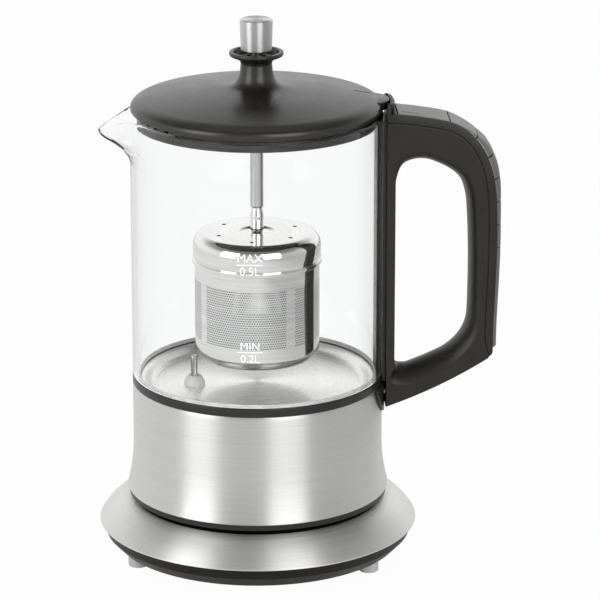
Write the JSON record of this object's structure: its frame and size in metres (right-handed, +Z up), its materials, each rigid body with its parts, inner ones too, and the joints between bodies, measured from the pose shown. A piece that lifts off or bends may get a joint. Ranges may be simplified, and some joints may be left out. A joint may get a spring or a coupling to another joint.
{
  "type": "electric tea maker",
  "caption": "Cordless electric tea maker: glass jug on a heated steel base, black lid with a lifting tea filter, D-shaped handle with keys, and a round power base.",
  "frame": {"origin": "on the jug's vertical axis, at the level of the table that the feet stand on", "axes": "+Z up, +X towards the handle, -X towards the spout, -Y towards the level marks at the front"},
  "size_m": [0.1699, 0.1352, 0.2314],
  "materials": {
    "black_plastic": "satin black",
    "brushed_steel": "brushed",
    "polished_steel": "polished",
    "rubber": "matt",
    "glass": "clear",
    "brass": "bare",
    "aluminium": "cast",
    "circuit_board": "solder mask",
    "silicone": "matt",
    "satin_steel": "satin"
  },
  "bodies": {
    "base": {"rubber_feet": "rubber", "base_tray": "black_plastic", "base_trim_ring": "brushed_steel", "base_deck": "black_plastic", "base_screws": "satin_steel", "base_connector": "black_plastic", "base_contacts": "brass", "cord_gland": "rubber", "cord_clamp": "black_plastic"},
    "kettle": {"steel_skirt": "brushed_steel", "kettle_bottom_cover": "black_plastic", "kettle_bottom_screws": "satin_steel", "board_carrier": "black_plastic", "kettle_plug": "black_plastic", "kettle_plug_contacts": "brass", "floor_plate": "satin_steel", "heat_spreader": "aluminium", "heating_element": "aluminium", "thermal_cutout": "black_plastic", "control_board": "circuit_board", "temperature_probe": "satin_steel", "probe_grommet": "silicone", "glass_seal": "rubber", "glass_jug": "glass", "handle_frame": "black_plastic", "handle_cover": "black_plastic", "handle_spine": "black_plastic", "handle_saddle": "black_plastic", "handle_screws": "satin_steel", "strip_upper": "black_plastic", "strip_lower": "black_plastic", "release_pin": "satin_steel", "release_spring": "satin_steel", "key_switches": "black_plastic", "key_board": "circuit_board"},
    "lid": {"lid_shell": "black_plastic", "lid_inner": "black_plastic", "lid_gasket": "silicone", "lid_collar": "black_plastic", "rod_bush": "satin_steel"},
    "filter_lift": {"lift_knob": "satin_steel", "lift_rod": "satin_steel", "rod_post": "polished_steel", "post_nut": "satin_steel", "filter_cap": "polished_steel"},
    "basket": {"filter_basket": "polished_steel"},
    "release": {"release_key": "black_plastic"},
    "key_body_1": {"key_1": "black_plastic"},
    "key_body_2": {"key_2": "black_plastic"},
    "key_body_3": {"key_3": "black_plastic"},
    "key_body_4": {"key_4": "black_plastic"},
    "key_body_5": {"key_5": "black_plastic"}
  },
  "joints": [
    {"name": "kettle_lift", "type": "slide", "parent": "base", "child": "kettle", "axis": [0, 0, 1], "range_m": [0, 0.06]},
    {"name": "lid_lift", "type": "slide", "parent": "kettle", "child": "lid", "axis": [0, 0, 1], "range_m": [0, 0.125]},
    {"name": "filter_slide", "type": "slide", "parent": "lid", "child": "filter_lift", "axis": [0, 0, 1], "range_m": [0, 0.035]},
    {"name": "basket_turn", "type": "hinge", "parent": "filter_lift", "child": "basket", "pos_m": [0, 0, 0.12765], "axis": [0, 0, 1], "range_deg": [0, 30]},
    {"name": "release_press", "type": "hinge", "parent": "kettle", "child": "release", "pos_m": [0.07606, 0, 0.18515], "axis": [0, -1, 0], "range_deg": [0, 3.2], "stiffness_Nm_per_rad": 0.8, "springref_deg": -2.86, "deforming": ["release_spring"]},
    {"name": "key_1_press", "type": "slide", "parent": "kettle", "child": "key_body_1", "axis": [-0.8509, 0, -0.5254], "range_m": [0, 0.0009], "stiffness_N_per_m": 1500, "springref_m": -0.0003},
    {"name": "key_2_press", "type": "slide", "parent": "kettle", "child": "key_body_2", "axis": [-0.9596, 0, -0.2813], "range_m": [0, 0.0009], "stiffness_N_per_m": 1500, "springref_m": -0.0003},
    {"name": "key_3_press", "type": "slide", "parent": "kettle", "child": "key_body_3", "axis": [-0.9935, 0, -0.1138], "range_m": [0, 0.0009], "stiffness_N_per_m": 1500, "springref_m": -0.0003},
    {"name": "key_4_press", "type": "slide", "parent": "kettle", "child": "key_body_4", "axis": [-0.9996, 0, -0.0272], "range_m": [0, 0.0009], "stiffness_N_per_m": 1500, "springref_m": -0.0003},
    {"name": "key_5_press", "type": "slide", "parent": "kettle", "child": "key_body_5", "axis": [-1, 0, -0.0025], "range_m": [0, 0.0009], "stiffness_N_per_m": 1500, "springref_m": -0.0003}
  ]
}
